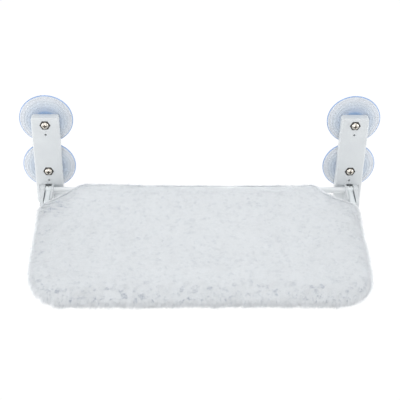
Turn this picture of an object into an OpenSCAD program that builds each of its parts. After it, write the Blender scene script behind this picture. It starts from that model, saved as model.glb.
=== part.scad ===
// Window mounted cat perch. Two moulded brackets on suction cups carry a tube frame in a
// plush cover. The frame turns on its rear tube and folds up in front of the window.
// X runs along the window, Y into it and Z up. The origin is on the glass, in the
// middle of the four suction cups.

/* [Suction cups] */
// Diameter of a cup's lip
cup_d = 94; // [84:1:110]
// Gap between the two cups of one bracket
cup_gap = 0.8; // [0.5:0.1:8]
// Distance between the left and the right screw axes
bracket_spacing = 540; // [480:1:640]
// Height of a cup, from the window to the face that the bracket seats on
cup_height = 7.8; // [6.8:0.1:10]
// Thickness of the lip at the rim
lip_t = 1.2; // [0.8:0.1:1.8]
// Width of the flat ring of the lip that lies on the window
lip_w = 4; // [2:0.5:8]
// Depth of the hollow behind the cup
hollow_depth = 3.2; // [2:0.1:4]
// Diameter of the thick middle of a cup
cup_boss_d = 48; // [40:1:56]
// Diameter of the neck that enters the bracket
neck_d = 20; // [18:0.5:22]
// Height of a moulded ring on the front of a cup
ring_h = 0.5; // [0.2:0.1:0.8]
// Width of a moulded ring
ring_w = 1.6; // [1:0.1:2]

/* [Brackets] */
// Width of a bracket
bracket_w = 48; // [44:1:60]
// Depth of a bracket, from its front face to its open back
bracket_depth = 15.2; // [14:0.1:20]
// Height of the bracket above the upper screw
head_h = 14; // [12:0.5:24]
// Distance from the lower screw down to the ledge
ledge_drop = 28.5; // [24:0.5:40]
// Height of the hinge block below the ledge
hinge_block_h = 39.5; // [38:0.5:50]
// Thickness of the moulded walls
wall = 2.6; // [2:0.1:3.2]
// Thickness of the stiffening ribs at the back
rib_t = 1.8; // [1.2:0.1:2.6]
// Corner radius in the front view
corner_r = 5; // [4:0.5:8]
// Radius of the front edges
edge_r = 2.8; // [1:0.1:4]
// Width across the flats of a hexagonal screw pocket
pocket_af = 16.8; // [15:0.1:18]
// Depth of a hexagonal screw pocket
pocket_depth = 4; // [3:0.1:5]
// Diameter of the pip holes
pip_d = 4; // [2:0.1:5]
// Distance from a screw down to its pip hole
pip_drop = 18.8; // [16:0.1:22]
// Depth of the step below the ledge
recess = 1.6; // [1:0.1:2.4]
// Width of the outer band that isn't stepped back
band_w = 5.2; // [4:0.1:7]

/* [Hinge] */
// Distance from the front face of a bracket out to the hinge axis
pivot_out = 7.5; // [7.3:0.1:9]
// Distance from the ledge down to the hinge axis
pivot_drop = 6.6; // [5:0.1:8]
// Radius of the hinge knuckle
knuckle_r = 7.2; // [7.1:0.1:8]
// Drop of the top of a hinge arm below the top of its knuckle
arm_drop = 3.4; // [2:0.1:4]
// Gap between a hinge arm and the outer cheek
arm_gap = 1.3; // [0.4:0.1:2]
// Width of the slot between the cheeks
slot_w = 11.7; // [10:0.1:14]
// Distance from the screw axis out to the middle of the slot
slot_shift = 1.8; // [0:0.1:3]
// Height of the slot above the ledge
slot_rise = 2; // [1:0.1:5]
// Depth of the slot behind the front face
slot_depth = 5.6; // [4:0.1:7]
// Thickness of the inner cheek
inner_cheek_t = 3.2; // [2.6:0.1:5]
// Thickness of the outer cheek at the bracket
outer_cheek_t = 9; // [8:0.1:10]
// Thickness of the outer cheek at its nose
outer_nose_t = 5.2; // [4:0.1:7]
// Reach of the inner cheek in front of the bracket
inner_reach = 41; // [38:0.5:42]
// Reach of the outer cheek in front of the bracket
outer_reach = 50; // [44:0.5:52]
// Radius of the cheeks' noses
nose_r = 9; // [8:0.1:10]
// Drop of a cheek's top from the bracket to the nose
cheek_fall = 1.5; // [0.5:0.1:3]
// Thickness of the floor that the arm rests on
fork_floor_t = 3; // [2:0.1:4]
// Depth of the blind bore in the outer cheek
blind_depth = 6; // [5:0.1:7]
// Diameter of the roll pins
roll_pin_d = 3; // [2.5:0.1:4]

/* [Frame] */
// Outer diameter of the tubes
tube_d = 11; // [10:0.1:11.6]
// Wall of the tubes
tube_wall = 1; // [0.8:0.1:1.4]
// Distance from the hinge axis to the axis of the front tube
frame_reach = 304; // [260:1:380]
// Bend radius of the front corners, on the tube's axis
bend_r = 64; // [50:1:90]
// Outer diameter of the sockets of the hinge arms
socket_d = 17; // [15.6:0.1:18]
// Length of the sockets
socket_l = 38; // [30:1:50]
// Distance from the slot's middle in to the axis of the side tubes
socket_inset = 4; // [2:0.1:6]
// Distance from the hinge axis to the sockets
socket_out = 50.5; // [50:0.5:58]
// Length of the joining spigot
spigot_length = 90; // [60:1:120]
// Distance between the two screws of the joining spigot
spigot_screw_pitch = 46; // [30:1:60]

/* [Cover] */
// Radius of the rounded edges of the cover
cover_r = 13; // [12:0.1:16]
// Width of a cut-away rear corner, along the rear edge
corner_cut_w = 70; // [68:1:86]
// Length of a cut-away rear corner, along the side
corner_cut_l = 70.5; // [68:0.5:90]
// Dip of the cut edge below a straight line
corner_dip = 4; // [2:0.5:10]
// Sag of the cover in the middle
cover_sag = 5; // [0:0.5:9]

/* [Fasteners] */
// Diameter of the cup screws
screw_d = 6; // [5:0.1:6.4]
// Diameter of the heads of the cup screws
head_d = 12.4; // [10:0.1:13]
// Height of the heads of the cup screws
head_tall = 4.6; // [4:0.1:6]
// Height of the hexagonal seats under the heads
hex_seat_t = 3.2; // [2.4:0.1:3.8]
// Outer diameter of the threaded inserts
insert_d = 10; // [9:0.1:12]
// Diameter of the socket screws
socket_screw_d = 3.5; // [3:0.1:4]
// Diameter of the screws of the joining spigot
spigot_screw_d = 2.6; // [2:0.1:3]

/* [Hidden] */
$fn = 72;

// Overrun of every cut
overrun = 1;
// Running gap of the rear tube in the cheeks, on the radius
run_gap = 0.08;
// Gap of a fixed fit, on the radius
fix_gap = 0.05;
// Gap between faces that rest on each other
seat_gap = 0.3;
// Gap between the hinge arm and the inner cheek
slide_gap = 0.4;

// Places of the brackets
cup_pitch = cup_d + cup_gap;
screw_x = bracket_spacing / 2;
screw_z = cup_pitch / 2;
y_back = -cup_height;
y_front = -cup_height - bracket_depth;
z_top = screw_z + head_h;
z_ledge = -screw_z - ledge_drop;
z_bottom = z_ledge - hinge_block_h;

// Screw stack, as distances from the window
floor_t = wall + lip_t / 3;
pocket_at = -y_front - pocket_depth;
neck_end = pocket_at - floor_t - seat_gap;
insert_l = neck_end - cup_height - fix_gap;

// Hinge
pivot_y = y_front - pivot_out;
pivot_z = z_ledge - pivot_drop;
slot_lo = slot_shift - slot_w / 2;
slot_hi = slot_shift + slot_w / 2;
arm_lo = slot_lo + slide_gap;
arm_hi = slot_hi - arm_gap;
arm_mid = (arm_lo + arm_hi) / 2;
arm_top = pivot_z + knuckle_r - arm_drop;
arm_bottom = pivot_z - knuckle_r;
face_y = y_front + recess;
hinge_wall = 1.6 * wall;
floor_z = arm_bottom - seat_gap;
nose_z = z_ledge - cheek_fall - nose_r;
eye_r = tube_d / 2 + wall;
block_r = corner_r;

// Frame, with its side tubes at side_x from the middle
tube_r = tube_d / 2;
bore_r = tube_r - tube_wall;
side_x = screw_x + slot_shift - socket_inset;
front_y = pivot_y - frame_reach;
socket_y = pivot_y - socket_out;
socket_end_y = socket_y - socket_l;
socket_floor = wall + tube_wall;
tube_start_y = socket_y - socket_floor - seat_gap;
socket_screw_y = socket_end_y + socket_l / 3;
plug_cap = tube_wall;
plug_l = 1.5 * tube_r;
rear_half = screw_x + slot_hi + blind_depth - seat_gap;
spigot_r = bore_r - fix_gap;
spigot_screw_x = spigot_screw_pitch / 2;

// Cover
inner_r = (tube_r + 1.5 * seat_gap) / cos(22.5);
part_gap = seat_gap;
edge_x = side_x + cover_r;
edge_front = front_y - cover_r;
edge_rear = pivot_y + cover_r;
mid_y = (edge_front + edge_rear) / 2;
pad_inset = cover_r + socket_d / 2 + tube_wall;
pad_half = inner_r - seat_gap;

// Colours
white_moulding = [0.90, 0.92, 0.93];
white_paint = [0.89, 0.90, 0.91];
clear_vinyl = [0.80, 0.86, 0.94, 0.75];
bright_steel = [0.78, 0.76, 0.72];
brass = [0.80, 0.68, 0.40];
black_nylon = [0.12, 0.12, 0.13];
plush_white = [0.88, 0.90, 0.92];

// Shapes that several pieces share

module on_side(side) {
    if (side < 0) mirror([1, 0, 0]) children();
    else children();
}

module at_bracket(side) {
    on_side(side) translate([screw_x, 0, 0]) children();
}

module at_cups(side) {
    for (level = [-1, 1]) at_cup(side, level) children();
}

module at_cup(side, level) {
    translate([side * screw_x, 0, level * screw_z]) rotate([90, 0, 0]) children();
}

// A rectangle between two corners, with round corners
module round_rect(x0, x1, y0, y1, r) {
    translate([x0 + r, y0]) square([x1 - x0 - 2 * r, y1 - y0]);
    translate([x0, y0 + r]) square([x1 - x0, y1 - y0 - 2 * r]);
    for (x = [x0 + r, x1 - r], y = [y0 + r, y1 - r]) translate([x, y]) circle(r);
}

// An outline in X and Z, from y0 to y1
module front_extrude(y0, y1) {
    translate([0, y1, 0]) rotate([90, 0, 0]) linear_extrude(height = y1 - y0) children();
}

// An outline in X and Y, from z0 to z1
module plan_extrude(z0, z1) {
    translate([0, 0, z0]) linear_extrude(height = z1 - z0) children();
}

// An outline in Y and Z, from x0 to x1
module side_extrude(x0, x1) {
    translate([x0, 0, 0]) rotate([90, 0, 90]) linear_extrude(height = x1 - x0) children();
}

// A rod along X, from x0 to x1, through the point at y and z
module rod_x(x0, x1, y, z, r) {
    translate([x0, y, z]) rotate([0, 90, 0]) cylinder(r = r, h = x1 - x0);
}

// A rod along Y, from y0 to y1, through the point at x and z
module rod_y(y0, y1, x, z, r) {
    translate([x, y1, z]) rotate([90, 0, 0]) cylinder(r = r, h = y1 - y0);
}

// Where a line from the point p touches a circle, on the side that turn gives
function touch(p, centre, r, turn) =
    let (d = p - centre, a = atan2(d[1], d[0]) + turn * acos(r / norm(d)))
    centre + r * [cos(a), sin(a)];

// Suction cups, screws and inserts

ring_shares = [0.16, 0.38, 0.60, 0.82];

function dome_h(r) =
    let (boss_r = cup_boss_d / 2, share = (cup_d / 2 - r) / (cup_d / 2 - boss_r))
    lip_t + (cup_height - lip_t / 2 - lip_t) * sin(90 * share);

function ring_points(r) = [
    [r + ring_w / 2, dome_h(r + ring_w / 2)],
    [r + ring_w / 4, dome_h(r) + ring_h],
    [r - ring_w / 4, dome_h(r) + ring_h],
    [r - ring_w / 2, dome_h(r - ring_w / 2)]];

function cup_profile() =
    let (rim_r = cup_d / 2, boss_r = cup_boss_d / 2, hollow_r = rim_r - lip_w, steps = 6)
    concat(
        [[0, hollow_depth]],
        [for (i = [steps : -1 : 0])
            [boss_r + (hollow_r - boss_r) * (1 - i / steps), hollow_depth * sin(90 * i / steps)]],
        [[rim_r, 0], [rim_r, lip_t]],
        [for (s = ring_shares) each ring_points(rim_r - s * (rim_r - boss_r))],
        [[boss_r, dome_h(boss_r)], [boss_r, cup_height], [neck_d / 2, cup_height],
            [neck_d / 2, neck_end], [insert_d / 2 + fix_gap, neck_end],
            [insert_d / 2 + fix_gap, neck_end - insert_l], [0, neck_end - insert_l]]);

module cup(side, level) {
    color(clear_vinyl)
    at_cup(side, level)
    rotate_extrude()
    polygon(cup_profile());
}

module cup_inserts() {
    groove = insert_d / 16;
    in_r = screw_d / 2 + fix_gap;
    out_r = insert_d / 2;
    color(brass)
    for (side = [-1, 1]) at_cups(side)
    translate([0, 0, neck_end - insert_l + fix_gap])
    rotate_extrude()
    polygon([[in_r, 0], [out_r, 0], [out_r, insert_l / 3],
        [out_r - groove, insert_l * 5 / 12], [out_r - groove, insert_l * 7 / 12],
        [out_r, insert_l * 2 / 3], [out_r, insert_l - fix_gap], [in_r, insert_l - fix_gap]]);
}

module hex_seats() {
    color(black_nylon)
    for (side = [-1, 1]) at_cups(side)
    translate([0, 0, pocket_at])
    difference() {
        cylinder(d = (pocket_af - seat_gap) / cos(30), h = hex_seat_t, $fn = 6);
        translate([0, 0, -overrun])
            cylinder(r = screw_d / 2 + fix_gap, h = hex_seat_t + 2 * overrun);
    }
}

module cup_screws() {
    dome_steps = 8;
    flank = head_tall / 3;
    recess_l = head_d / 2;
    recess_w = head_d / 7;
    shank_l = hex_seat_t + pocket_at - neck_end + insert_l - screw_d / 6;
    color(bright_steel)
    for (side = [-1, 1]) at_cups(side)
    translate([0, 0, pocket_at + hex_seat_t])
    difference() {
        rotate_extrude()
        polygon(concat(
            [[0, -shank_l], [screw_d / 2 - screw_d / 8, -shank_l],
                [screw_d / 2, screw_d / 8 - shank_l], [screw_d / 2, 0], [head_d / 2, 0]],
            [for (i = [0 : dome_steps])
                [head_d / 2 * cos(90 * i / dome_steps),
                    flank + (head_tall - flank) * sin(90 * i / dome_steps)]]));
        for (turn = [0, 90])
            rotate([0, 0, turn])
            translate([-recess_l / 2, -recess_w / 2, head_tall / 2])
            cube([recess_l, recess_w, head_tall]);
    }
}

// Brackets

module bracket_shell() {
    w = bracket_w / 2;
    difference() {
        intersection() {
            front_extrude(y_front, y_back) round_rect(-w, w, z_bottom, z_top, corner_r);
            plan_extrude(z_bottom, z_top)
                round_rect(-w, w, y_front, y_back + 2 * edge_r, edge_r);
            side_extrude(-w, w)
                round_rect(y_front, y_back + 2 * edge_r, z_bottom, z_top, edge_r);
        }
        front_extrude(y_front + wall, y_back + overrun)
            round_rect(wall - w, w - wall, z_ledge, z_top - wall, corner_r - wall);
        front_extrude(face_y + hinge_wall, y_back + overrun)
            round_rect(wall - w, w - wall, z_bottom + wall, z_ledge + corner_r, corner_r - wall);
    }
}

// Ribs and screw bosses inside the open back
module bracket_ribs() {
    w = bracket_w / 2 - wall / 2;
    rib_back = y_back - wall / 2;
    rib_level_shares = [-0.2, 0.2];
    front_extrude(y_front + wall / 2, rib_back)
    union() {
        for (s = rib_level_shares)
            translate([-w, s * cup_pitch - rib_t / 2]) square([2 * w, rib_t]);
        translate([-rib_t / 2, z_ledge]) square([rib_t, z_top - z_ledge - wall / 2]);
        translate([-w, z_ledge - rib_t]) square([2 * w, rib_t]);
    }
    for (level = [-1, 1])
        rod_y(y_front + wall / 2, y_back, 0, level * screw_z, neck_d / 2 + wall + seat_gap);
    // housing of the blind slot
    front_extrude(y_front + wall / 2, y_front + slot_depth + wall)
        translate([slot_lo - wall, floor_z - wall])
        square([slot_w + 2 * wall, z_ledge + slot_rise - floor_z + 2 * wall]);
}

// Side view of a cheek: a gusset with a round nose and an eye at the hinge
module cheek_profile(reach) {
    top = [face_y + wall, z_ledge];
    low = [face_y + wall, z_bottom + block_r];
    nose_at = [y_front - reach + nose_r, nose_z];
    polygon([top, touch(top, nose_at, nose_r, 1), nose_at, touch(low, nose_at, nose_r, -1), low]);
    translate(nose_at) circle(nose_r);
    translate([pivot_y, pivot_z]) circle(eye_r);
}

module fork() {
    nose_y = y_front - outer_reach;
    floor_y = y_front - inner_reach + nose_r;
    side_extrude(slot_lo - inner_cheek_t, slot_lo) cheek_profile(inner_reach);
    intersection() {
        side_extrude(slot_hi, slot_hi + outer_cheek_t) cheek_profile(outer_reach);
        plan_extrude(z_bottom, z_top)
        polygon([[slot_hi, nose_y], [slot_hi + outer_nose_t, nose_y],
            [slot_hi + outer_cheek_t, y_front], [slot_hi + outer_cheek_t, y_back],
            [slot_hi, y_back]]);
    }
    side_extrude(slot_lo - inner_cheek_t / 2, slot_hi + inner_cheek_t / 2)
        translate([floor_y, floor_z - fork_floor_t])
        square([face_y + wall - floor_y, fork_floor_t]);
}

module bracket_cuts() {
    w = bracket_w / 2;
    // step below the ledge, open to the inner side
    difference() {
        translate([-w - overrun, y_front - overrun, z_bottom - overrun])
            cube([2 * w - band_w + overrun, recess + overrun, z_ledge - z_bottom + overrun]);
        fork();
    }
    // blind slot for the knuckle, with an arched top
    front_extrude(pivot_y, y_front + slot_depth)
        round_rect(slot_lo, slot_hi, floor_z, z_ledge + slot_rise, slot_w / 4);
    // hinge bores, one through the inner cheek and one blind in the outer cheek
    rod_x(slot_lo - inner_cheek_t - overrun, slot_lo + overrun, pivot_y, pivot_z,
        tube_r + run_gap);
    rod_x(slot_hi - overrun, slot_hi + blind_depth, pivot_y, pivot_z, tube_r + run_gap);
    for (level = [-1, 1]) {
        translate([0, y_front + pocket_depth, level * screw_z]) rotate([90, 0, 0])
            cylinder(d = pocket_af / cos(30), h = pocket_depth + overrun, $fn = 6);
        rod_y(y_front, y_back + overrun, 0, level * screw_z, screw_d / 2 + seat_gap);
        rod_y(-pocket_at + floor_t, y_back + overrun, 0, level * screw_z,
            neck_d / 2 + seat_gap);
        rod_y(y_front - overrun, y_front + wall + overrun, 0, level * screw_z - pip_drop,
            pip_d / 2);
    }
}

module bracket(side) {
    color(white_moulding)
    at_bracket(side)
    difference() {
        union() {
            bracket_shell();
            bracket_ribs();
            fork();
        }
        bracket_cuts();
    }
}

// Hinge arms

module arm_blend() {
    blend_l = knuckle_r;
    hull() {
        front_extrude(socket_y, socket_y + blend_l)
            round_rect(arm_lo, arm_hi, arm_bottom, arm_top, edge_r, $fn = 32);
        rod_y(socket_y - blend_l / 2, socket_y, slot_shift - socket_inset, pivot_z,
            socket_d / 2, $fn = 32);
    }
}

module hinge_arm(side) {
    color(white_moulding)
    at_bracket(side)
    difference() {
        union() {
            rod_x(arm_lo, arm_hi, pivot_y, pivot_z, knuckle_r);
            front_extrude(socket_y, pivot_y)
                round_rect(arm_lo, arm_hi, arm_bottom, arm_top, edge_r);
            arm_blend();
            rod_y(socket_end_y, socket_y, slot_shift - socket_inset, pivot_z, socket_d / 2);
        }
        rod_x(slot_lo, slot_hi, pivot_y, pivot_z, tube_r + fix_gap);
        rod_y(socket_end_y - overrun, socket_y - socket_floor,
            slot_shift - socket_inset, pivot_z, tube_r + fix_gap);
        // cored-out underside between the knuckle and the socket
        front_extrude(socket_y + 2 * wall, pivot_y - tube_r - 2 * wall)
            translate([arm_lo + wall, arm_bottom - overrun])
            square([arm_hi - arm_lo - 2 * wall, arm_top - arm_bottom - wall + overrun]);
        translate([arm_mid, pivot_y, arm_bottom - overrun])
            cylinder(d = roll_pin_d + fix_gap, h = 2 * (knuckle_r + overrun));
        at_socket_screw() flat_screw_room(socket_screw_d, socket_d / 2);
    }
}

// Depth of a round surface of radius r below its crown, at the distance w from it
function crown(r, w) = r - sqrt(r * r - w * w);

// A countersunk screw, with its head at the origin and its point upwards
module flat_screw(d, l) {
    r = d / 2;
    difference() {
        union() {
            cylinder(r1 = d, r2 = r, h = r);
            cylinder(r = r, h = l);
        }
        for (turn = [0, 90])
            rotate([0, 0, turn])
            translate([-r, -r / 5, -overrun])
            cube([d, r / 2.5, overrun + r / 2]);
    }
}

// The hole of a countersunk screw
module flat_screw_room(d, l) {
    r = d / 2 + fix_gap;
    cylinder(r = r, h = l);
    cylinder(r1 = 2 * r, r2 = r, h = r);
    translate([0, 0, -overrun]) cylinder(r = 2 * r, h = overrun);
}

module at_socket_screw() {
    translate([slot_shift - socket_inset, socket_screw_y,
        pivot_z - socket_d / 2 + crown(socket_d / 2, socket_screw_d)])
        children();
}

module at_spigot_screw() {
    translate([spigot_screw_x, front_y, pivot_z - tube_r + crown(tube_r, spigot_screw_d)])
        children();
}

module socket_screws() {
    color(bright_steel)
    for (side = [-1, 1]) at_bracket(side)
        at_socket_screw() flat_screw(socket_screw_d, socket_d / 3);
}

module hinge_pins() {
    color(bright_steel)
    for (side = [-1, 1]) at_bracket(side)
    translate([arm_mid, pivot_y, arm_bottom + run_gap])
    difference() {
        cylinder(d = roll_pin_d, h = 2 * (knuckle_r - run_gap));
        translate([0, 0, -overrun])
            cylinder(d = roll_pin_d / 2, h = 2 * (knuckle_r + overrun));
        translate([-roll_pin_d / 10, 0, -overrun])
            cube([roll_pin_d / 5, roll_pin_d, 2 * (knuckle_r + overrun)]);
    }
}

// Frame tubes

module rear_tube() {
    half = rear_half - plug_cap;
    color(white_paint)
    difference() {
        rod_x(-half, half, pivot_y, pivot_z, tube_r);
        rod_x(-half - overrun, half + overrun, pivot_y, pivot_z, bore_r);
        for (side = [-1, 1]) at_bracket(side)
            translate([arm_mid, pivot_y, arm_bottom])
            cylinder(d = roll_pin_d + fix_gap, h = 2 * knuckle_r);
    }
}

module tube_end_plugs() {
    color(white_moulding)
    for (side = [-1, 1]) on_side(side)
    translate([rear_half, pivot_y, pivot_z]) rotate([0, -90, 0])
    rotate_extrude()
    polygon([[0, 0], [tube_r - edge_r / 4, 0], [tube_r, edge_r / 4], [tube_r, plug_cap],
        [bore_r - fix_gap, plug_cap], [bore_r - fix_gap, plug_l - tube_wall],
        [bore_r - tube_wall, plug_l], [bore_r - 2 * tube_wall, plug_l],
        [bore_r - 2 * tube_wall, plug_cap + tube_wall], [0, plug_cap + tube_wall]]);
}

// One half of the front frame: side, bend and half of the front
module frame_rod(r, extra) {
    rod_y(front_y + bend_r, tube_start_y + extra, side_x, pivot_z, r);
    rod_x(seat_gap / 2 - extra, side_x - bend_r, front_y, pivot_z, r);
    translate([side_x - bend_r, front_y + bend_r, pivot_z])
        rotate([0, 0, -90]) rotate_extrude(angle = 90) translate([bend_r, 0]) circle(r);
}

module frame_tube(side) {
    color(white_paint)
    on_side(side)
    difference() {
        frame_rod(tube_r, 0);
        frame_rod(bore_r, overrun);
        translate([screw_x, 0, 0])
            at_socket_screw() flat_screw_room(socket_screw_d, socket_d / 2);
        at_spigot_screw() flat_screw_room(spigot_screw_d, tube_r);
    }
}

module frame_spigot() {
    color(bright_steel)
    difference() {
        rod_x(-spigot_length / 2, spigot_length / 2, front_y, pivot_z, spigot_r);
        rod_x(-spigot_length / 2 - overrun, spigot_length / 2 + overrun, front_y, pivot_z,
            spigot_r - tube_wall);
        for (side = [-1, 1]) on_side(side)
            at_spigot_screw() flat_screw_room(spigot_screw_d, tube_r);
    }
}

module spigot_screws() {
    color(bright_steel)
    for (side = [-1, 1]) on_side(side)
        at_spigot_screw() flat_screw(spigot_screw_d, tube_r * 2 / 3);
}

// Cover and pad: closed forms built from rings that follow one outline

mid_shares = [0.36, 0, -0.36];

// Round arc that replaces the corner p between its neighbours a and b
function fillet(a, p, b, r, n) =
    let (u = (a - p) / norm(a - p), v = (b - p) / norm(b - p), half = acos(u * v) / 2,
        centre = p + (u + v) / norm(u + v) * r / sin(half),
        d0 = p + u * r / tan(half) - centre, d1 = p + v * r / tan(half) - centre,
        a0 = atan2(d0[1], d0[0]), sweep = (atan2(d1[1], d1[0]) - a0 + 540) % 360 - 180)
    [for (i = [0 : n]) centre + r * [cos(a0 + sweep * i / n), sin(a0 + sweep * i / n)]];

// Corners of the right half of the outline, inset by d, as x, y, radius and steps
function half_corners(d) =
    let (slant = d * tan(22.5), dip = (corner_dip + d) / sqrt(2),
        low_r = max(1.25 * cover_r - d, cover_r / 8))
    [[edge_x - d, edge_front + d, max(bend_r + cover_r - d, cover_r), 12],
        [edge_x - d, mid_y, 0, 0],
        [edge_x - d, edge_rear - corner_cut_l - slant, low_r, 3],
        [edge_x - corner_cut_w / 2 - dip, edge_rear - corner_cut_l / 2 - dip,
            9 * cover_r + d, 4],
        [edge_x - corner_cut_w - slant, edge_rear - d, low_r, 3]];

function all_corners(d) =
    let (right = half_corners(d), n = len(right) - 1)
    concat(right,
        [for (s = mid_shares) [s * edge_x, edge_rear - d, 0, 0]],
        [for (i = [n : -1 : 0]) [-right[i][0], right[i][1], right[i][2], right[i][3]]],
        [for (i = [len(mid_shares) - 1 : -1 : 0])
            [mid_shares[i] * edge_x, edge_front + d, 0, 0]]);

function outline(d) =
    let (c = all_corners(d), n = len(c))
    [for (i = [0 : n - 1])
        let (p = [c[i][0], c[i][1]], a = c[(i + n - 1) % n], b = c[(i + 1) % n])
        each c[i][2] == 0 ? [p] : fillet([a[0], a[1]], p, [b[0], b[1]], c[i][2], c[i][3])];

function sag_at(p) =
    cover_sag * max(0, 1 - pow(p[0] / (edge_x - cover_r), 2))
    * max(0, 1 - pow(2 * (p[1] - mid_y) / (edge_rear - edge_front - 2 * cover_r), 2));

// A ring at the height h above the frame's plane, inset by d and drawn in to a share
function ring(d, h, share) =
    [for (p = outline(d))
        let (q = [p[0] * share, mid_y + (p[1] - mid_y) * share])
        [q[0], q[1], pivot_z + h - sag_at(q)]];

function pole(h) = [0, mid_y, pivot_z + h - cover_sag];

// A closed form from rings between two poles
module rings(low_pole, list, high_pole) {
    n = len(list[0]);
    m = len(list);
    points = concat([low_pole], [for (r = list) each r], [high_pole]);
    top = n * m + 1;
    sides = [for (j = [0 : m - 2], i = [0 : n - 1])
        let (a = 1 + j * n + i, b = 1 + j * n + (i + 1) % n)
        each [[a, b + n, b], [a, a + n, b + n]]];
    ends = [for (i = [0 : n - 1])
        each [[0, 1 + i, 1 + (i + 1) % n],
            [top, 1 + (m - 1) * n + (i + 1) % n, 1 + (m - 1) * n + i]]];
    polyhedron(points, concat(sides, ends), convexity = 4);
}

mid_ring_shares = [0.3, 0.55, 0.8];

// One skin of the cover, upwards for up = 1 and downwards for up = -1
module skin(up) {
    inner = concat(
        [for (s = mid_ring_shares) ring(cover_r, up * inner_r, s)],
        [for (a = [90, 45])
            ring(cover_r - inner_r * cos(a), up * inner_r * sin(a), 1)],
        [ring(cover_r - inner_r, up * part_gap / 2, 1)]);
    outer = concat(
        [for (a = [0, 30, 60, 90])
            ring(cover_r * (1 - cos(a)), up * max(cover_r * sin(a), part_gap / 2), 1)],
        [for (i = [len(mid_ring_shares) - 1 : -1 : 0])
            ring(cover_r, up * cover_r, mid_ring_shares[i])]);
    in_pole = pole(up * inner_r);
    out_pole = pole(up * cover_r);
    list = concat(inner, outer);
    flipped = [for (i = [len(list) - 1 : -1 : 0]) list[i]];
    difference() {
        if (up > 0) rings(in_pole, list, out_pole);
        else rings(out_pole, flipped, in_pole);
        // mouths for the rear tube and for the sockets
        for (side = [-1, 1]) on_side(side) {
            rod_x(edge_x - corner_cut_w * 3 / 2, edge_x, pivot_y, pivot_z,
                inner_r / cos(15), $fn = 12);
            rod_y(socket_end_y - overrun, socket_y + socket_d, side_x, pivot_z,
                (socket_d / 2 + seat_gap) / cos(15), $fn = 12);
        }
    }
}

module cover_top() {
    color(plush_white) skin(1);
}

module cover_underside() {
    color(plush_white) skin(-1);
}

module foam_pad() {
    soft = pad_half / 2;
    low = concat(
        [for (s = mid_ring_shares) ring(pad_inset + soft, -pad_half, s)],
        [ring(pad_inset + soft, -pad_half, 1)]);
    high = concat(
        [ring(pad_inset + soft, pad_half, 1)],
        [for (i = [len(mid_ring_shares) - 1 : -1 : 0])
            ring(pad_inset + soft, pad_half, mid_ring_shares[i])]);
    color([0.95, 0.95, 0.90])
    rings(pole(-pad_half),
        concat(low, [ring(pad_inset, -soft, 1), ring(pad_inset, soft, 1)], high),
        pole(pad_half));
}

bracket(-1);  // left_bracket
bracket(1);  // right_bracket
cup(-1, 1);  // left_upper_cup
cup(-1, -1);  // left_lower_cup
cup(1, 1);  // right_upper_cup
cup(1, -1);  // right_lower_cup
cup_inserts();
hex_seats();
cup_screws();
hinge_arm(-1);  // left_hinge_arm
hinge_arm(1);  // right_hinge_arm
rear_tube();
tube_end_plugs();
hinge_pins();
frame_tube(-1);  // left_frame_tube
frame_tube(1);  // right_frame_tube
socket_screws();
frame_spigot();
spigot_screws();
foam_pad();
cover_top();
cover_underside();
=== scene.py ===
import math

import bpy
import numpy as np
from mathutils import Matrix, Vector, kdtree, noise


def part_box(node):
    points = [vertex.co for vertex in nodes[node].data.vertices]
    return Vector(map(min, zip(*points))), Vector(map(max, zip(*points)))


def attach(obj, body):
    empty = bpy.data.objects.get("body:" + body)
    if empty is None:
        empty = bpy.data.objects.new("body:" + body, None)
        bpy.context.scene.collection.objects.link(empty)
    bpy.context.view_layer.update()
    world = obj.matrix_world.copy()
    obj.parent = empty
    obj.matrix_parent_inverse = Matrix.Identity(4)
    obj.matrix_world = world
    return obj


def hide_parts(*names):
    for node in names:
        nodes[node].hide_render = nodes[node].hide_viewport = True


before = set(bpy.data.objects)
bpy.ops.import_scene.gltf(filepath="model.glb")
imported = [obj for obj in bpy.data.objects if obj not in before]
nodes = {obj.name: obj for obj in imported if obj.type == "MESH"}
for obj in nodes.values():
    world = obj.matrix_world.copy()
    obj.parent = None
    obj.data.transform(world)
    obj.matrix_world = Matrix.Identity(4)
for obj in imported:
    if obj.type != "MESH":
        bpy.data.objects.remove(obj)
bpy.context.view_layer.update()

# The two wall brackets
# Each is one white ABS moulding, open at the back, with two screw pockets and a fork
# for the hinge. The tool left a fine spark texture all over it.

noise_low, noise_high = 0.3, 0.7


def tone(red, green, blue):
    """A colour named as it looks, from 0 to 255, in the linear scale of the shaders."""
    parts = [c / 255 for c in (red, green, blue)]
    return [c / 12.92 if c < 0.04045 else ((c + 0.055) / 1.055) ** 2.4 for c in parts] + [1]


def new_material(name):
    """A material with its node tree, its shader and a texture coordinate in metres."""
    material = bpy.data.materials.new(name)
    material.use_nodes = True
    tree = material.node_tree
    shader = tree.nodes["Principled BSDF"]
    place = tree.nodes.new("ShaderNodeTexCoord").outputs["Object"]
    return material, tree, shader, place


def speckle(tree, place, per_metre, detail, rough=0.5):
    """Noise of a given fineness, in spots to the metre."""
    node = tree.nodes.new("ShaderNodeTexNoise")
    node.inputs["Scale"].default_value = per_metre
    node.inputs["Detail"].default_value = detail
    node.inputs["Roughness"].default_value = rough
    tree.links.new(place, node.inputs["Vector"])
    return node.outputs["Fac"]


def ramp(tree, factor, stops):
    """Colours laid along a factor. Each stop is a position and a colour."""
    node = tree.nodes.new("ShaderNodeValToRGB")
    while len(node.color_ramp.elements) < len(stops):
        node.color_ramp.elements.new(0.5)
    for element, (position, colour) in zip(node.color_ramp.elements, stops):
        element.position = position
        element.color = colour
    tree.links.new(factor, node.inputs["Fac"])
    return node.outputs["Color"]


def two_tone(tree, drift, low, high):
    """A drift between two colours, over the middle of a noise's range."""
    return ramp(tree, drift, [(noise_low, low), (noise_high, high)])


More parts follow.
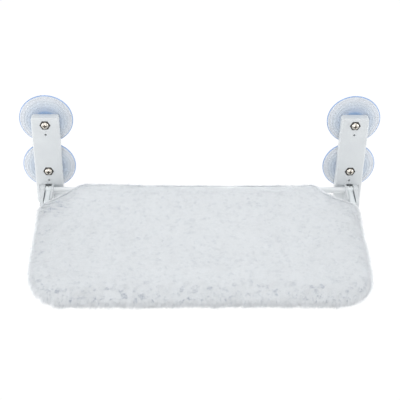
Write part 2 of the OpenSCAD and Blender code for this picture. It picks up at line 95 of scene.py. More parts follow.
def between(tree, drift, low, high):
    """A number that runs from low to high over the middle of a noise's range."""
    node = tree.nodes.new("ShaderNodeMapRange")
    node.inputs["From Min"].default_value = noise_low
    node.inputs["From Max"].default_value = noise_high
    node.inputs["To Min"].default_value = low
    node.inputs["To Max"].default_value = high
    tree.links.new(drift, node.inputs["Value"])
    return node.outputs["Result"]


def relief(tree, shader, height, depth):
    """Bump of a given depth in metres, from a factor."""
    node = tree.nodes.new("ShaderNodeBump")
    node.inputs["Strength"].default_value = 1.0
    node.inputs["Distance"].default_value = depth
    tree.links.new(height, node.inputs["Height"])
    tree.links.new(node.outputs["Normal"], shader.inputs["Normal"])


def moulded_white(name, low, high):
    """White moulded plastic: a faint drift of tone and a fine spark texture."""
    material, tree, shader, place = new_material(name)
    drift = speckle(tree, place, per_metre=35, detail=3)
    tree.links.new(two_tone(tree, drift, low, high), shader.inputs["Base Color"])
    grain = speckle(tree, place, per_metre=2600, detail=2)
    tree.links.new(between(tree, grain, 0.36, 0.5), shader.inputs["Roughness"])
    relief(tree, shader, grain, depth=0.00004)
    shader.inputs["IOR"].default_value = 1.5
    return material


def dress(node, material):
    """Gives a carried-over node its material."""
    skins = nodes[node].data.materials
    skins.clear()
    skins.append(material)


bracket_white = moulded_white("bracket white", tone(204, 208, 211), tone(210, 214, 216))
for name in ("left_bracket", "right_bracket"):
    dress(name, bracket_white)

# The four suction cups
# Clear soft vinyl, faintly blue, pressed with raised rings. Each has a thick middle
# and a threaded neck that goes into the bracket from behind.

cup_x, cup_z, cup_r = 0.27, 0.0474, 0.047


def reckon(tree, operation, first, second=None):
    """One step of arithmetic on a factor."""
    node = tree.nodes.new("ShaderNodeMath")
    node.operation = operation
    tree.links.new(first, node.inputs[0])
    if isinstance(second, float):
        node.inputs[1].default_value = second
    elif second is not None:
        tree.links.new(second, node.inputs[1])
    return node.outputs[0]


def off_cup_axis(tree, place):
    """How far a point lies from the axis of its cup, sideways and up or down."""
    parts = tree.nodes.new("ShaderNodeSeparateXYZ")
    tree.links.new(place, parts.inputs[0])
    ways = []
    for axis, centre in (("X", cup_x), ("Z", cup_z)):
        away = reckon(tree, "SUBTRACT", reckon(tree, "ABSOLUTE", parts.outputs[axis]), centre)
        ways.append(reckon(tree, "ABSOLUTE", away))
    return ways


def from_cup_axis(tree, place):
    """How far out on its cup a point lies: 0 on the axis and 1 at the rim."""
    squares = [reckon(tree, "POWER", way, 2.0) for way in off_cup_axis(tree, place)]
    return reckon(tree, "DIVIDE", reckon(tree, "SQRT", reckon(tree, "ADD", *squares)), cup_r)


vinyl, tree, shader, place = new_material("clear vinyl")
vinyl_tones = [
    (0.38, tone(148, 175, 210)),
    (0.44, tone(179, 193, 214)),
    (0.56, tone(192, 203, 218)),
    (0.75, tone(205, 213, 222)),
    (0.90, tone(216, 220, 226)),
    (0.965, tone(218, 223, 229)),
    (0.985, tone(144, 176, 222)),
    (1.0, tone(130, 166, 220)),
]
haze = speckle(tree, place, per_metre=60, detail=3)
tree.links.new(ramp(tree, from_cup_axis(tree, place), vinyl_tones), shader.inputs["Base Color"])
tree.links.new(between(tree, haze, 0.2, 0.32), shader.inputs["Roughness"])
shader.inputs["IOR"].default_value = 1.45
shader.inputs["Transmission Weight"].default_value = 0.15
shader.inputs["Specular IOR Level"].default_value = 0.3
for side in ("left", "right"):
    for level in ("upper", "lower"):
        dress(f"{side}_{level}_cup", vinyl)

# The threaded inserts, the hexagonal seats and the cup screws
# Turned brass inserts sit in the necks of the cups. Bright plated round-head screws
# with a cross recess run into them through nylon seats keyed in the pockets. The
# seats are near-black as painted shade of the deep pockets round the screw heads.

steel_low, steel_high, steel_shine = tone(206, 200, 190), tone(224, 219, 210), (0.16, 0.3)
recess_l, recess_w, recess_tone = 0.0066, 0.0020, tone(112, 104, 95)


def metal(name, low, high, roughness):
    """Bare metal with a drawn, slightly uneven shine."""
    material, tree, shader, place = new_material(name)
    drift = speckle(tree, place, per_metre=220, detail=3)
    tree.links.new(two_tone(tree, drift, low, high), shader.inputs["Base Color"])
    fine = speckle(tree, place, per_metre=3000, detail=2)
    tree.links.new(between(tree, fine, *roughness), shader.inputs["Roughness"])
    shader.inputs["Metallic"].default_value = 1.0
    relief(tree, shader, fine, depth=0.00002)
    return material


def darken_recess(material):
    """Shades the floor of the cross recess of each cup screw, which light hardly reaches."""
    tree = material.node_tree
    colour = tree.nodes["Principled BSDF"].inputs["Base Color"]
    sides = off_cup_axis(tree, tree.nodes["Texture Coordinate"].outputs["Object"])
    narrow = reckon(tree, "LESS_THAN", reckon(tree, "MINIMUM", *sides), recess_w / 2)
    short = reckon(tree, "LESS_THAN", reckon(tree, "MAXIMUM", *sides), recess_l / 2)
    shaded = tree.nodes.new("ShaderNodeMix")
    shaded.data_type = "RGBA"
    tree.links.new(reckon(tree, "MULTIPLY", narrow, short), shaded.inputs["Factor"])
    tree.links.new(colour.links[0].from_socket, shaded.inputs["A"])
    shaded.inputs["B"].default_value = recess_tone
    tree.links.new(shaded.outputs["Result"], colour)


brass = metal("turned brass", tone(205, 176, 112), tone(220, 192, 130), (0.25, 0.4))
dress("cup_inserts", brass)
plated = metal("plated steel", steel_low, steel_high, steel_shine)
headed = metal("cup screw steel", steel_low, steel_high, steel_shine)
darken_recess(headed)
dress("cup_screws", headed)

nylon, tree, shader, place = new_material("nylon seat painted shade")
# The seats' near-black tone is painted shade, for the deep pockets that light hardly reaches.
drift = speckle(tree, place, per_metre=400, detail=3)
seat_painted_shade_tone = two_tone(tree, drift, tone(44, 43, 42), tone(62, 60, 58))
tree.links.new(seat_painted_shade_tone, shader.inputs["Base Color"])
tree.links.new(between(tree, drift, 0.4, 0.55), shader.inputs["Roughness"])
dress("hex_seats", nylon)

# The hinge arms, the rear tube, its plugs and pins
# White ABS arms are pinned on a powder-coated steel tube that turns in the forks.
# The coat has a soft orange-peel.

arm_white = moulded_white("arm white", tone(218, 224, 226), tone(225, 230, 232))
for name in ("left_hinge_arm", "right_hinge_arm", "tube_end_plugs"):
    dress(name, arm_white)
dress("hinge_pins", plated)

coat, tree, shader, place = new_material("white powder coat")
peel = speckle(tree, place, per_metre=900, detail=2)
drift = speckle(tree, place, per_metre=40, detail=2)
coat_tone = two_tone(tree, drift, tone(219, 223, 225), tone(226, 229, 231))
tree.links.new(coat_tone, shader.inputs["Base Color"])
tree.links.new(between(tree, peel, 0.3, 0.42), shader.inputs["Roughness"])
relief(tree, shader, peel, depth=0.00006)
dress("rear_tube", coat)

# The front frame
# Two bent tubes in the same white coat meet on a plated spigot in the middle of the
# front. Countersunk screws hold them in the sockets of the arms and on the spigot.

for name in ("left_frame_tube", "right_frame_tube"):
    dress(name, coat)
for name in ("frame_spigot", "socket_screws", "spigot_screws"):
    dress(name, plated)

# The foam pad
# A slab of soft white foam lies between the tubes and fills the cover. It is cut with
# round edges, so it feels like a mattress and not like a board.

cover_low, cover_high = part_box("cover_top")
tube_low, tube_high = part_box("rear_tube")
foam_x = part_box("foam_pad")[1].x
tube_r = (tube_high.z - tube_low.z) / 2
mid_z = (tube_high.z + tube_low.z) / 2
pivot_y = (tube_high.y + tube_low.y) / 2
edge_x = cover_high.x
edge_front, edge_rear = cover_low.y, cover_high.y
mid_y = (edge_front + edge_rear) / 2
cover_r = edge_rear - pivot_y
bend_r = 0.064
corner_cut_w, corner_cut_l, corner_dip = 0.070, 0.0705, 0.004
dip_r, cut_end_r, least_r = 2.5 * cover_r, 1.25 * cover_r, cover_r / 8
front_steps, dip_steps, cut_end_steps = 20, 8, 5
cover_sag = 0.005
foam_over_tube = 1.02
foam_half = tube_r * foam_over_tube
foam_inset = edge_x - foam_x
foam_side = (corner_dip, 0.5, bend_r + cover_r)
foam_rings, foam_grid, foam_smoothing = 9, 0.005, 4


def new_piece(name, points, faces):
    """A mesh object from points and faces, in the scene and with smooth faces."""
    mesh = bpy.data.meshes.new(name)
    mesh.from_pydata([tuple(p) for p in points], [], faces)
    mesh.validate()
    mesh.update()
    piece = bpy.data.objects.new(name, mesh)
    bpy.context.scene.collection.objects.link(piece)
    mesh.polygons.foreach_set("use_smooth", [True] * len(mesh.polygons))
    return piece


def settled(piece):
    """Applies the piece's modifiers to its mesh."""
    bpy.context.view_layer.update()
    done = piece.evaluated_get(bpy.context.evaluated_depsgraph_get())
    mesh = bpy.data.meshes.new_from_object(done)
    piece.modifiers.clear()
    old = piece.data
    piece.data = mesh
    bpy.data.meshes.remove(old)
    mesh.polygons.foreach_set("use_smooth", [True] * len(mesh.polygons))


def corners_of(piece):
    """The piece's points as an array."""
    spots = np.zeros(len(piece.data.vertices) * 3)
    piece.data.vertices.foreach_get("co", spots)
    return spots.reshape(-1, 3)


def put(piece, spots):
    """Writes the piece's points back."""
    piece.data.vertices.foreach_set("co", spots.ravel())
    piece.data.update()


def rounded(before, corner, after, radius, steps):
    """Points of the arc that rounds a corner of an outline."""
    before, corner, after = (np.array(p) for p in (before, corner, after))
    u = (before - corner) / np.linalg.norm(before - corner)
    v = (after - corner) / np.linalg.norm(after - corner)
    half = math.acos(u @ v) / 2
    centre = corner + (u + v) / np.linalg.norm(u + v) * radius / math.sin(half)
    first = corner + u * radius / math.tan(half) - centre
    last = corner + v * radius / math.tan(half) - centre
    start = math.atan2(first[1], first[0])
    sweep = (math.atan2(last[1], last[0]) - start + 3 * math.pi) % (2 * math.pi) - math.pi
    turns = [start + sweep * i / steps for i in range(steps + 1)]
    return [centre + radius * np.array([math.cos(t), math.sin(t)]) for t in turns]


def half_outline(inset, dip_of_cut, dip_share, front_r):
    """Corners of the right half of the cover's outline, as x, y, radius and steps. The
    cut corner dips in most at a share of the way from the rear edge to the side."""
    slant = inset * math.tan(math.pi / 8)
    dip = (dip_of_cut + inset) / math.sqrt(2)
    dip_x = edge_x - corner_cut_w * (1 - dip_share) - dip
    dip_y = edge_rear - corner_cut_l * dip_share - dip
    end_r = max(cut_end_r - inset, least_r)
    return [
        (edge_x - inset, edge_front + inset, max(front_r - inset, cover_r), front_steps),
        (edge_x - inset, edge_rear - corner_cut_l - slant, end_r, cut_end_steps),
        (dip_x, dip_y, dip_r + inset, dip_steps),
        (edge_x - corner_cut_w - slant, edge_rear - inset, end_r, cut_end_steps),
    ]


def cover_outline(inset, left, right):
    """The cover's outline, seen from above and inset by some way. Each side has the
    dip of its cut corner, the share where it dips most, and its front radius."""
    whole = half_outline(inset, *right)
    whole += [(-x, y, r, n) for x, y, r, n in reversed(half_outline(inset, *left))]
    points = []
    for i, (x, y, r, n) in enumerate(whole):
        before, after = whole[i - 1][:2], whole[(i + 1) % len(whole)][:2]
        points += rounded(before, (x, y), after, r, n)
    return np.array(points)


def slab(name, inset, half, ring_count, left, right):
    """A closed slab inside the cover's outline, with half-round edges."""
    rings = []
    for i in range(ring_count):
        turn = math.pi * (i / (ring_count - 1) - 0.5)
        flat = cover_outline(inset + half * (1 - math.cos(turn)), left, right)
        rings.append(np.column_stack([flat, np.full(len(flat), half * math.sin(turn))]))
    count = len(rings[0])
    top = (ring_count - 1) * count
    points = np.concatenate(rings)
    points[:, 2] += mid_z
    faces = []
    for lower in range(0, top, count):
        upper = lower + count
        for i in range(count):
            after = (i + 1) % count
            faces.append((lower + i, lower + after, upper + after, upper + i))
    faces.append(tuple(reversed(range(count))))
    faces.append(tuple(range(top, top + count)))
    return new_piece(name, points, faces)


def remeshed(piece, voxel, smoothing):
    """Puts the piece in even small faces and smooths the steps of the grid away."""
    grid = piece.modifiers.new("grid", "REMESH")
    grid.mode = "VOXEL"
    grid.voxel_size = voxel
    even = piece.modifiers.new("even", "SMOOTH")
    even.factor = 0.5
    even.iterations = smoothing
    settled(piece)


def clamped(values):
    """The values, held between 0 and 1."""
    return np.clip(values, 0, 1)


def sag(spots):
    """How far the cover hangs down between the tubes, at each point."""
    across = clamped(1 - (spots[:, 0] / (edge_x - cover_r)) ** 2)
    reach = (edge_rear - edge_front) / 2 - cover_r
    along = clamped(1 - ((spots[:, 1] - mid_y) / reach) ** 2)
    return cover_sag * across * along


foam_pad = slab("foam_pad_slab", foam_inset, foam_half, foam_rings, foam_side, foam_side)
remeshed(foam_pad, foam_grid, foam_smoothing)
spots = corners_of(foam_pad)
spots[:, 2] -= sag(spots)
put(foam_pad, spots)

foam, tree, shader, place = new_material("white foam")
cells = speckle(tree, place, per_metre=1200, detail=3)
foam_tone = two_tone(tree, cells, tone(226, 224, 214), tone(240, 239, 232))
tree.links.new(foam_tone, shader.inputs["Base Color"])
shader.inputs["Roughness"].default_value = 0.95
relief(tree, shader, cells, depth=0.0004)
foam_pad.data.materials.append(foam)
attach(foam_pad, "perch")
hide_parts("foam_pad")

# The plush cover
# A sleeve of short white plush is drawn over the frame and the pad. Its knitted back
# is tight over the stuffing and wrinkles where the hinge arms enter.

backing_drop, pile_depth = 0.0038, 0.0028
slab_half = cover_r - pile_depth
left_side, right_side = (0.0010, 0.5, 0.070), (0.0095, 0.3, 0.064)
cover_rings = 13
cover_grid, cover_smoothing = ((0.005, 3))
flat_slope = 0.75
edge_band, taper_band = 3 * cover_r, 1.2 * bend_r
rear_sag, rear_sag_x, rear_sag_w = 0.0048, 0.045, 0.20
front_slope, corner_droop, front_taper = 0.0048, 0.0035, 0.0045
tuft_depth, side_tuft_depth, tuft_size = 0.0005, 0.0014, 0.0085
drift_depth, drift_size = 0.0008, 0.034
fold_pitch, fold_slant, fold_waver, waver_size = 0.0105, 0.12, 0.004, 0.014
fold_places = (
    ((-0.258, -0.102, mid_z), 0.022, 0.0014),
    ((0.262, -0.100, mid_z), 0.018, 0.0006),
)
cover_shift, shift_from, shift_over = 0.0030, 0.10, 0.08


def wave(spots, size, offset, stretch=(1, 1, 1)):
    """Smooth noise at each point, from -1 to 1, with features of about that size."""
    scaled = spots / size * np.array(stretch) + offset
    return np.array([noise.noise(Vector(p)) for p in scaled])


def normals_of(piece):
    """The piece's outward direction at each point."""
    piece.data.update()
    out = np.zeros(len(piece.data.vertices) * 3)
    piece.data.vertices.foreach_get("normal", out)
    return out.reshape(-1, 3)


def swollen(piece, held, pressure, slack, cap, steps=20):
    """The piece blown up as cloth, with each point moved by no more than the cap."""
    before = corners_of(piece)
    group = piece.vertex_groups.new(name="held")
    for strength in np.unique(held):
        group.add(np.flatnonzero(held == strength).tolist(), float(strength), "REPLACE")
    cloth = piece.modifiers.new("cloth", "CLOTH")
    cloth.settings.quality = 4
    cloth.settings.mass = 0.25
    cloth.settings.tension_stiffness = 12
    cloth.settings.compression_stiffness = 12
    cloth.settings.bending_stiffness = 0.3
    cloth.settings.shrink_min = -slack
    cloth.settings.use_pressure = True
    cloth.settings.uniform_pressure_force = pressure
    cloth.settings.vertex_group_mass = "held"
    cloth.settings.effector_weights.gravity = 0
    cloth.collision_settings.use_collision = False
    scene = bpy.context.scene
    for step in range(1, steps + 1):
        scene.frame_set(step)
    settled(piece)
    scene.frame_set(1)
    move = corners_of(piece) - before
    far = np.linalg.norm(move, axis=1)
    move *= np.minimum(1, cap / np.maximum(far, 1e-9))[:, None]
    put(piece, before + move)


def folds(spots, centre, reach):
    """Small cross folds, at a place where the cloth is drawn together: how strong they
    are at each point, and 1 on a crest and -1 in a crease."""
    from_centre = spots - np.array(centre)
    fade = np.exp(-((from_centre[:, 0] / reach) ** 2) - (from_centre[:, 1] / reach) ** 2)
    waver = fold_waver * wave(spots, waver_size, offset=5.2)
    bend = from_centre[:, 1] + fold_slant * from_centre[:, 0] + waver
    return fade, np.cos(2 * math.pi * bend / fold_pitch)


cover = slab("plush_cover", backing_drop, slab_half, cover_rings, left_side, right_side)
remeshed(cover, cover_grid, cover_smoothing)
on_edge = np.abs(normals_of(cover)[:, 2]) < flat_slope
swollen(cover, np.where(on_edge, 1.0, 0.0), pressure=3.0, slack=0.012, cap=0.0035)
finer = cover.modifiers.new("finer", "SUBSURF")
finer.levels = 1
settled(cover)

# The top hangs between the tubes, slopes down to the front edge, and dips at the rear.
# The front corners droop and are drawn in.
spots = corners_of(cover)
out = normals_of(cover)
spots[:, 2] -= sag(spots)
near_rear = clamped((spots[:, 1] - edge_rear + edge_band) / (2 * cover_r))
near_dip = clamped(1 - ((spots[:, 0] - rear_sag_x) / rear_sag_w) ** 2)
near_front = clamped((edge_front + edge_band - spots[:, 1]) / edge_band)
upper = clamped((spots[:, 2] - mid_z) / slab_half)
spots[:, 2] -= front_slope * near_front ** 2 * upper
spots[:, 2] -= corner_droop * near_front * (spots[:, 0] / edge_x) ** 6
drawn_in = clamped((edge_front + 2 * bend_r - spots[:, 1]) / taper_band)
spots[:, 0] -= front_taper * drawn_in ** 2 * (spots[:, 0] / edge_x) ** 5
spots[:, 2] -= rear_sag * near_rear * near_dip * upper

# Then come the tufts, the uneven stuffing and the folds at the arms, and the whole
# cover sits a little to the left.
facing = clamped(-1.5 * out[:, 1])
tufted = wave(spots, tuft_size, offset=11.3, stretch=(1, 1, 0.6))
lift = (tuft_depth + side_tuft_depth * facing) * tufted
lift += drift_depth * wave(spots, drift_size, offset=4.7)
for centre, reach, depth in fold_places:
    fade, crest = folds(spots, centre, reach)
    lift += depth * fade * (1 + crest)
spots += out * lift[:, None]
past_arms = clamped((-spots[:, 1] - shift_from) / shift_over)
spots[:, 0] -= cover_shift * np.where(spots[:, 0] > 0, past_arms, 1)
put(cover, spots)

plush, tree, shader, place = new_material("white plush")
clump = speckle(tree, place, per_metre=240, detail=4, rough=0.65)
plush_tone = ramp(tree, clump, [(0.32, tone(214, 217, 220)), (0.62, tone(225, 228, 230))])
tree.links.new(plush_tone, shader.inputs["Base Color"])
shader.inputs["Roughness"].default_value = 1.0
shader.inputs["Specular IOR Level"].default_value = 0.1
shader.inputs["Sheen Weight"].default_value = 0.25
shader.inputs["Sheen Roughness"].default_value = 0.6
relief(tree, shader, clump, depth=0.0010)
cover.data.materials.append(plush)
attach(cover, "perch")
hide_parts("cover_top", "cover_underside")

# The pile of the cover
# Soft flat locks of white polyester stand a few millimetres out of the cloth. They lie
# along the nap in tufts, stand up on the round edges and hang over the front edge.

lock_l, lock_w, root_width, locks_to_a_tuft = 0.0052, 0.0006, 0.7, 24
lock_faces = np.array([(0, 1, 3), (0, 3, 2), (2, 3, 4)])
lock_corners = 5
uneven = (0.7, 1.3)
nap_size, nap_sway, nap_forward, nap_down, nap_spread = 0.034, 0.9, 0.55, 0.45, 0.28
flat_rise, side_rise = 0.15, 0.55
flat_gather, front_gather, elbow_gather = 0.2, 0.35, 0.35
flat_roll, side_roll = 0.3, 0.5
side_longer, stray_longer, hang_longer = 0.4, 0.5, 1.2
# How strongly each painted mark shows: painted shade in tufts, on the brow, in creases and under
# the hem, and painted light through hanging and side tufts.
tuft_tone_and_painted_shade, brow_painted_shade, crease_painted_shade, hem_painted_shadow = 0.6, 0.5, 0.8, 1.2
under_painted_light, side_painted_light = 0.5, 0.4
hem_from, hem_over, hem_size = -0.19, 0.02, 0.012
millimetre = 0.001
# Lightness of the five corners of a lock, root to tip: the roots are painted darker, as painted
# shade deep in the pile.
lock_root_painted_shade = np.array([0.4, 0.4, 0.6, 0.6, 0.8])
dark_depth = np.array([0.4, 0.4, 0.4, 0.4, 0.25])
cloth_share, own_share, sky_share = 0.65, 0.35, 0.8


def unit(rows):
    """The rows of an array, each brought to length 1."""
    return rows / np.maximum(np.linalg.norm(rows, axis=1), 1e-9)[:, None]


def scatter(piece, count, seed, slopes, sides):
    """Roots for the pile: random points on the part of the piece where the slope of its
    cloth and its place from left to right lie in a range, with the cloth's directions."""
    mesh = piece.data
    mesh.calc_loop_triangles()
    tris = np.zeros(len(mesh.loop_triangles) * 3, int)
    mesh.loop_triangles.foreach_get("vertices", tris)
    tris = tris.reshape(-1, 3)
    at = corners_of(piece)
    out = normals_of(piece)
    a, b, c = at[tris[:, 0]], at[tris[:, 1]], at[tris[:, 2]]
    across, slope = ((a + b + c) / 3)[:, 0], out[tris].mean(1)[:, 2]
    inside = (slope > slopes[0]) & (slope <= slopes[1]) & (across > sides[0]) & (across <= sides[1])
    area = np.linalg.norm(np.cross(b - a, c - a), axis=1)
    area = area * np.where(inside, 1.0, 0.0)
    draw = np.random.default_rng(seed)
    pick = draw.choice(len(tris), count, p=area / area.sum())
    u, v = draw.random(count), draw.random(count)
    over = u + v > 1
    u[over], v[over] = 1 - u[over], 1 - v[over]
    mix = np.column_stack([1 - u - v, u, v])
    roots = (at[tris[pick]] * mix[:, :, None]).sum(1)
    ways = (out[tris[pick]] * mix[:, :, None]).sum(1)
    return roots, ways / np.linalg.norm(ways, axis=1)[:, None], draw


def uprightness(ways):
    """0 on the flat faces of the cover and 1 on its sides."""
    return (1 - np.abs(ways[:, 2])) ** 0.7


def nearest_tuft(roots):
    """The number of each lock's tuft, where the first roots are the middles of the tufts."""
    middles = kdtree.KDTree(len(roots) // locks_to_a_tuft)
    for i in range(len(roots) // locks_to_a_tuft):
        middles.insert(roots[i], i)
    middles.balance()
    return np.array([middles.find(root)[1] for root in roots])


def laid(roots, ways, near, draw):
    """The five corners of each lock, root to tip, and the ways that it runs and spreads."""
    count = len(roots)
    upright = uprightness(ways)
    front = clamped(-1.5 * ways[:, 1]) * clamped(1 + 1.5 * ways[:, 2])
    hang = upright * clamped(0.25 - ways[:, 2])
    rise = flat_rise + side_rise * upright
    gather = flat_gather + front_gather * front
    roll = flat_roll + side_roll * upright
    nap = np.column_stack([
        nap_sway * wave(roots, nap_size, offset=2.1),
        nap_sway * wave(roots, nap_size, offset=7.9) - nap_forward,
        -nap_down - 0.8 * hang,
    ])
    nap += draw.normal(0, nap_spread, (count, 3))
    nap = unit(nap - ways * (nap * ways).sum(1)[:, None])
    stray = draw.random(count) ** 4
    longer = side_longer * upright + (stray_longer * upright + hang_longer * hang) * stray
    long = lock_l * (1 + longer) * draw.uniform(*uneven, count)
    up = rise * (0.4 + 3 * stray)
    elbow = roots + unit(nap + ways * (up * 1.5)[:, None]) * (long * 0.5)[:, None]
    tip = elbow + unit(nap + ways * (up * 0.3)[:, None]) * (long * 0.5)[:, None]
    tip += (tip[near] - tip) * gather[:, None]
    elbow += (elbow[near] - elbow) * (gather * elbow_gather)[:, None]
    run = unit(tip - roots)
    across = np.cross(run, ways)
    across = unit(across + ways * np.tan(roll * draw.uniform(-1, 1, count))[:, None])
    half = across * (lock_w * draw.uniform(*uneven, count) / 2)[:, None]
    root = half * root_width
    points = np.stack([roots - root, roots + root, elbow - half, elbow + half, tip], 1)
    return points, run, across


def light_along(roots, ways, near, draw):
    """How light each corner of each lock is, where 1 is palest; this is painted light and
    shade. The roots are painted darker than the tips. Tufts differ at random, most on the
    brow of the front roll, where the darker tufts are painted shade between the curls.
    Creases carry painted shade and the hem by the left arm a painted shadow. Tufts that
    hang or stand at the sides are painted paler, as painted light coming through them."""
    upright = uprightness(ways)
    brow = clamped(-3 * ways[:, 1]) * clamped(0.3 + 1.5 * ways[:, 2])
    # Darker tufts at random, more on the brow of the front roll: partly tone, partly painted shade
    # between the curls.
    spot = draw.random(len(roots) // locks_to_a_tuft) ** 2.5
    dark = (tuft_tone_and_painted_shade + brow_painted_shade * brow) * spot[near]
    dark *= 1 - clamped(-3 * ways[:, 2])
    # Painted shade in the creases of the folds by the arms.
    for centre, reach, depth in fold_places:
        fade, crest = folds(roots, centre, reach)
        dark += crease_painted_shade * (depth / millimetre) * fade * clamped(-crest)
    # Painted shadow under the hem of the rear edge by the left arm.
    hem = clamped(3 * ways[:, 1]) * clamped((hem_from - roots[:, 0]) / hem_over)
    dark += hem_painted_shadow * hem * clamped(0.5 + wave(roots, hem_size, offset=3.3))
    # Painted light on the tufts under the front roll and at the sides, as if coming through them.
    pale = under_painted_light * clamped(-2.5 * ways[:, 2]) * clamped(3 * upright)
    pale += side_painted_light * upright * np.abs(ways[:, 0])
    return lock_root_painted_shade + pale[:, None] - dark[:, None] * dark_depth


def pile(name, roots, ways, draw):
    """Flat tapering locks of pile that lie along the nap and are drawn together in tufts."""
    count = len(roots)
    near = nearest_tuft(roots)
    points, run, across = laid(roots, ways, near, draw)
    tris = (np.arange(count)[:, None, None] * lock_corners + lock_faces).reshape(-1, 3)
    mesh = bpy.data.meshes.new(name)
    mesh.vertices.add(count * lock_corners)
    mesh.vertices.foreach_set("co", points.ravel())
    mesh.loops.add(tris.size)
    mesh.loops.foreach_set("vertex_index", tris.ravel())
    mesh.polygons.add(len(tris))
    mesh.polygons.foreach_set("loop_start", np.arange(len(tris)) * 3)
    mesh.polygons.foreach_set("use_smooth", np.ones(len(tris), bool))
    mesh.update(calc_edges=True)
    light = light_along(roots, ways, near, draw)
    shade = mesh.attributes.new("light", "FLOAT", "POINT")
    shade.data.foreach_set("value", light.ravel().astype(np.float32))
    # Each lock is lit for the most part as the cloth under it is, so the pile looks soft.
    own = np.cross(run, across)
    own *= np.sign((own * ways).sum(1))[:, None]
    lit = ways * cloth_share + own * own_share
    lit[:, 2] += sky_share * uprightness(ways)
    lit = np.repeat(unit(lit), lock_corners, 0)
    mesh.normals_split_custom_set_from_vertices(lit.tolist())
    piece = bpy.data.objects.new(name, mesh)
    bpy.context.scene.collection.objects.link(piece)
    return piece


def mix_shaders(tree, share, first, second, output):
    """Sends two shaders to an output, with the second one's share of the mix."""
    mix = tree.nodes.new("ShaderNodeMixShader")
    tree.links.new(share, mix.inputs["Fac"])
    tree.links.new(first, mix.inputs[1])
    tree.links.new(second, mix.inputs[2])
    tree.links.new(mix.outputs["Shader"], tree.nodes[output].inputs["Surface"])


lock, tree, shader, _ = new_material("white pile")
light = tree.nodes.new("ShaderNodeAttribute")
light.attribute_name = "light"
# The dark end of these tones shows the painted shade of roots, tufts, creases and hem.
lock_tones = [
    (0.0, tone(126, 136, 158)),
    (0.37, tone(210, 213, 215)),
    (0.8, tone(225, 227, 229)),
    (1.0, tone(250, 251, 252)),
]
tree.links.new(ramp(tree, light.outputs["Fac"], lock_tones), shader.inputs["Base Color"])
shader.inputs["Roughness"].default_value = 0.9
shader.inputs["Specular IOR Level"].default_value = 0.15
through = tree.nodes.new("ShaderNodeBsdfTranslucent")
through.inputs["Color"].default_value = tone(226, 228, 230)

# The set normals turn round on a lock that is met from the back. There the light comes
# through the lock instead, so that both its sides are lit from outside the cover.
front_share, back_share = 0.1, 0.9
side = tree.nodes.new("ShaderNodeNewGeometry").outputs["Backfacing"]
share = reckon(tree, "MULTIPLY", side, back_share - front_share)
share = reckon(tree, "ADD", share, front_share)
mix_shaders(tree, share, shader.outputs["BSDF"], through.outputs["BSDF"], "Material Output")

third = edge_x / 3
beyond = 2 * edge_x
pile_parts = (
    ("side_pile_left", (-0.9, 0.9), (-beyond, 0), 62000),
    ("side_pile_right", (-0.9, 0.9), (0, beyond), 62000),
    ("top_pile_left", (0.9, 1.1), (-beyond, -third), 64000),
    ("top_pile_middle", (0.9, 1.1), (-third, third), 64000),
    ("top_pile_right", (0.9, 1.1), (third, beyond), 64000),
    ("under_pile_left", (-1.1, -0.9), (-beyond, 0), 40000),
    ("under_pile_right", (-1.1, -0.9), (0, beyond), 40000),
)
for seed, (name, slopes, sides, count) in enumerate(pile_parts):
    roots, ways, draw = scatter(cover, count, seed, slopes, sides)
    hair = pile(name, roots, ways, draw)
    hair.data.materials.append(lock)
    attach(hair, "perch")

# The studio
# A pale floor far below, a white surround and five broad soft lights, above and on all
# four sides. The camera stands where the photographer stood, with a long lens.

floor_z, floor_half = -0.62, 6
floor_white, glow_share = 0.97, 0.97


def seen_as_background(tree):
    """1 for a ray from the camera, in a gloss or through a clear piece, and else 0."""
    rays = tree.nodes.new("ShaderNodeLightPath").outputs
    seen = reckon(tree, "MAXIMUM", rays["Is Camera Ray"], rays["Is Glossy Ray"])
    return reckon(tree, "MAXIMUM", seen, rays["Is Transmission Ray"])


def lamp(name, place, aim, size, power):
    """A square soft light at a place, turned to what it lights."""
    data = bpy.data.lights.new(name, "AREA")
    data.size = size
    data.energy = power
    light = bpy.data.objects.new(name, data)
    bpy.context.scene.collection.objects.link(light)
    light.location = place
    light.rotation_euler = (Vector(aim) - Vector(place)).to_track_quat("-Z", "Y").to_euler()


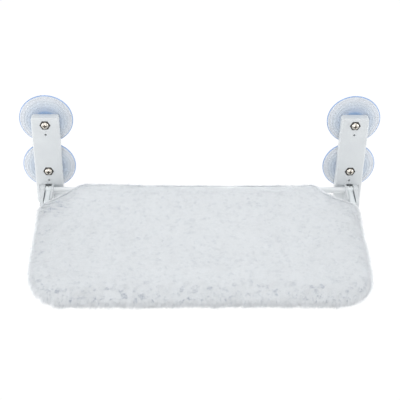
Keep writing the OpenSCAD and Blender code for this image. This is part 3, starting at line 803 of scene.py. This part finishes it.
floor_corners = [
    (x * floor_half, y * floor_half, floor_z)
    for x, y in ((-1, -1), (1, -1), (1, 1), (-1, 1))
]
floor = new_piece("floor", floor_corners, [(0, 1, 2, 3)])
pale, tree, shader, _ = new_material("pale floor")
shader.inputs["Base Color"].default_value = (floor_white, floor_white, floor_white, 1)
shader.inputs["Roughness"].default_value = 0.9
glow = tree.nodes.new("ShaderNodeEmission")
glow.inputs["Color"].default_value = (1, 1, 1, 1)
glow.inputs["Strength"].default_value = 1.02
share = reckon(tree, "MULTIPLY", seen_as_background(tree), glow_share)
mix_shaders(tree, share, shader.outputs["BSDF"], glow.outputs["Emission"], "Material Output")
floor.data.materials.append(pale)

world = bpy.data.worlds.new("white surround")
bpy.context.scene.world = world
world.use_nodes = True
tree = world.node_tree
fill = tree.nodes["Background"]
fill.inputs["Color"].default_value = (1, 1, 1, 1)
fill.inputs["Strength"].default_value = 0.70
bright = tree.nodes.new("ShaderNodeBackground")
bright.inputs["Color"].default_value = (1, 1, 1, 1)
bright.inputs["Strength"].default_value = 1.0
share = seen_as_background(tree)
mix_shaders(tree, share, fill.outputs["Background"], bright.outputs["Background"], "World Output")

middle = (0, mid_y, mid_z)
lamp("top light", (0, -0.3, 1.7), middle, size=1.4, power=10)
lamp("front light", (-0.4, -2.2, 0.0), middle, size=1.2, power=9)
lamp("left light", (-1.8, -0.3, 0.2), middle, size=1.2, power=13.5)
lamp("right light", (1.8, -0.3, 0.2), middle, size=1.2, power=12.5)
lamp("rear light", (0, 1.5, 0.7), middle, size=1.2, power=13)

frame_px, focal_px, sensor_mm = 400, 1041.6, 36
camera_place = (-0.0479, -1.5839, 0.9742)
yaw, pitch, roll = math.radians(1.80), math.radians(34.76), math.radians(1.04)
lens = bpy.data.cameras.new("photo camera")
lens.sensor_width = sensor_mm
lens.lens = focal_px * sensor_mm / frame_px
camera = bpy.data.objects.new("photo camera", lens)
bpy.context.scene.collection.objects.link(camera)
camera.matrix_world = (
    Matrix.Translation(camera_place)
    @ Matrix.Rotation(-yaw, 4, "Z")
    @ Matrix.Rotation(math.pi / 2 - pitch, 4, "X")
    @ Matrix.Rotation(roll, 4, "Z")
)
bpy.context.scene.camera = camera
bpy.context.scene.view_settings.view_transform = "Standard"
